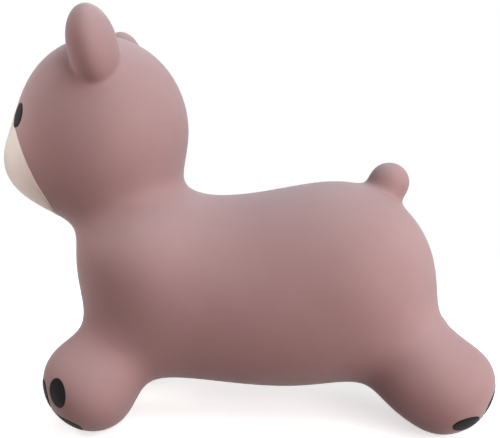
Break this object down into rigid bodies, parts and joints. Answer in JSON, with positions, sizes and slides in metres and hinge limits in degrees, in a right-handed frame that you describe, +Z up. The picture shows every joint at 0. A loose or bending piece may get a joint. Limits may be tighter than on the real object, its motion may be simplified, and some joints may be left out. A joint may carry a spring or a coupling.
{
  "type": "inflatable bear hopper",
  "caption": "Bouncing ride-on toy: an air-filled soft skin in the shape of a leaping bear, with ears to hold, a saddle back, paw feet to stand on and a push-in valve plug.",
  "frame": {"origin": "on the floor, under the middle of the bear's length and width", "axes": "the bear faces -X, its left side is -Y, and +Z is up"},
  "size_m": [0.5462, 0.2606, 0.4446],
  "materials": {
    "rose_skin": "satin soft PVC, dusty rose, faint grain",
    "cream_paint": "matte vinyl paint, warm cream",
    "black_paint": "matte vinyl paint, warm black",
    "plug_plastic": "moulded plug, off-white"
  },
  "bodies": {
    "torso": {"torso_skin": "rose_skin"},
    "valve": {"valve_plug": "plug_plastic"},
    "head": {"head_skin": "rose_skin", "muzzle": "cream_paint", "left_eye": "black_paint", "right_eye": "black_paint", "nose": "black_paint", "mouth": "black_paint"},
    "ear_left": {"left_ear": "rose_skin"},
    "ear_right": {"right_ear": "rose_skin"},
    "tail_stub": {"tail": "rose_skin"},
    "leg_front_left": {"front_left_leg": "rose_skin", "front_left_leg_main_pad": "black_paint", "front_left_leg_outer_toe": "black_paint", "front_left_leg_middle_toe": "black_paint", "front_left_leg_inner_toe": "black_paint"},
    "leg_front_right": {"front_right_leg": "rose_skin", "front_right_leg_main_pad": "black_paint", "front_right_leg_outer_toe": "black_paint", "front_right_leg_middle_toe": "black_paint", "front_right_leg_inner_toe": "black_paint"},
    "leg_rear_left": {"rear_left_leg": "rose_skin", "rear_left_leg_main_pad": "black_paint", "rear_left_leg_outer_toe": "black_paint", "rear_left_leg_middle_toe": "black_paint", "rear_left_leg_inner_toe": "black_paint"},
    "leg_rear_right": {"rear_right_leg": "rose_skin", "rear_right_leg_main_pad": "black_paint", "rear_right_leg_outer_toe": "black_paint", "rear_right_leg_middle_toe": "black_paint", "rear_right_leg_inner_toe": "black_paint"}
  },
  "joints": [
    {"name": "head_nod", "type": "hinge", "parent": "torso", "child": "head", "pos_m": [-0.13324, 0, 0.23828], "axis": [0, 1, 0], "range_deg": [-6, 6], "stiffness_Nm_per_rad": 30},
    {"name": "left_ear_flex", "type": "hinge", "parent": "head", "child": "ear_left", "pos_m": [-0.15285, -0.074, 0.39925], "axis": [0, 0.9673, 0.2538], "range_deg": [-15, 15], "stiffness_Nm_per_rad": 1.5},
    {"name": "right_ear_flex", "type": "hinge", "parent": "head", "child": "ear_right", "pos_m": [-0.15285, 0.074, 0.39925], "axis": [0, 0.9673, -0.2538], "range_deg": [-15, 15], "stiffness_Nm_per_rad": 1.5},
    {"name": "tail_flex", "type": "hinge", "parent": "torso", "child": "tail_stub", "pos_m": [0.16581, 0, 0.25617], "axis": [0, 1, 0], "range_deg": [-15, 15], "stiffness_Nm_per_rad": 1},
    {"name": "front_left_leg_flex", "type": "hinge", "parent": "torso", "child": "leg_front_left", "pos_m": [-0.13844, -0.06089, 0.07249], "axis": [-0.4384, 0.8988, 0], "range_deg": [-3, 8], "stiffness_Nm_per_rad": 40},
    {"name": "front_right_leg_flex", "type": "hinge", "parent": "torso", "child": "leg_front_right", "pos_m": [-0.13844, 0.06089, 0.07249], "axis": [0.4384, 0.8988, 0], "range_deg": [-3, 8], "stiffness_Nm_per_rad": 40},
    {"name": "rear_left_leg_flex", "type": "hinge", "parent": "torso", "child": "leg_rear_left", "pos_m": [0.19812, -0.07143, 0.06223], "axis": [-0.5, -0.866, 0], "range_deg": [-3, 8], "stiffness_Nm_per_rad": 40},
    {"name": "rear_right_leg_flex", "type": "hinge", "parent": "torso", "child": "leg_rear_right", "pos_m": [0.19812, 0.07143, 0.06223], "axis": [0.5, -0.866, 0], "range_deg": [-3, 8], "stiffness_Nm_per_rad": 40},
    {"name": "plug_pull", "type": "slide", "parent": "torso", "child": "valve", "axis": [0, 0, -1], "range_m": [0, 0.018]}
  ]
}
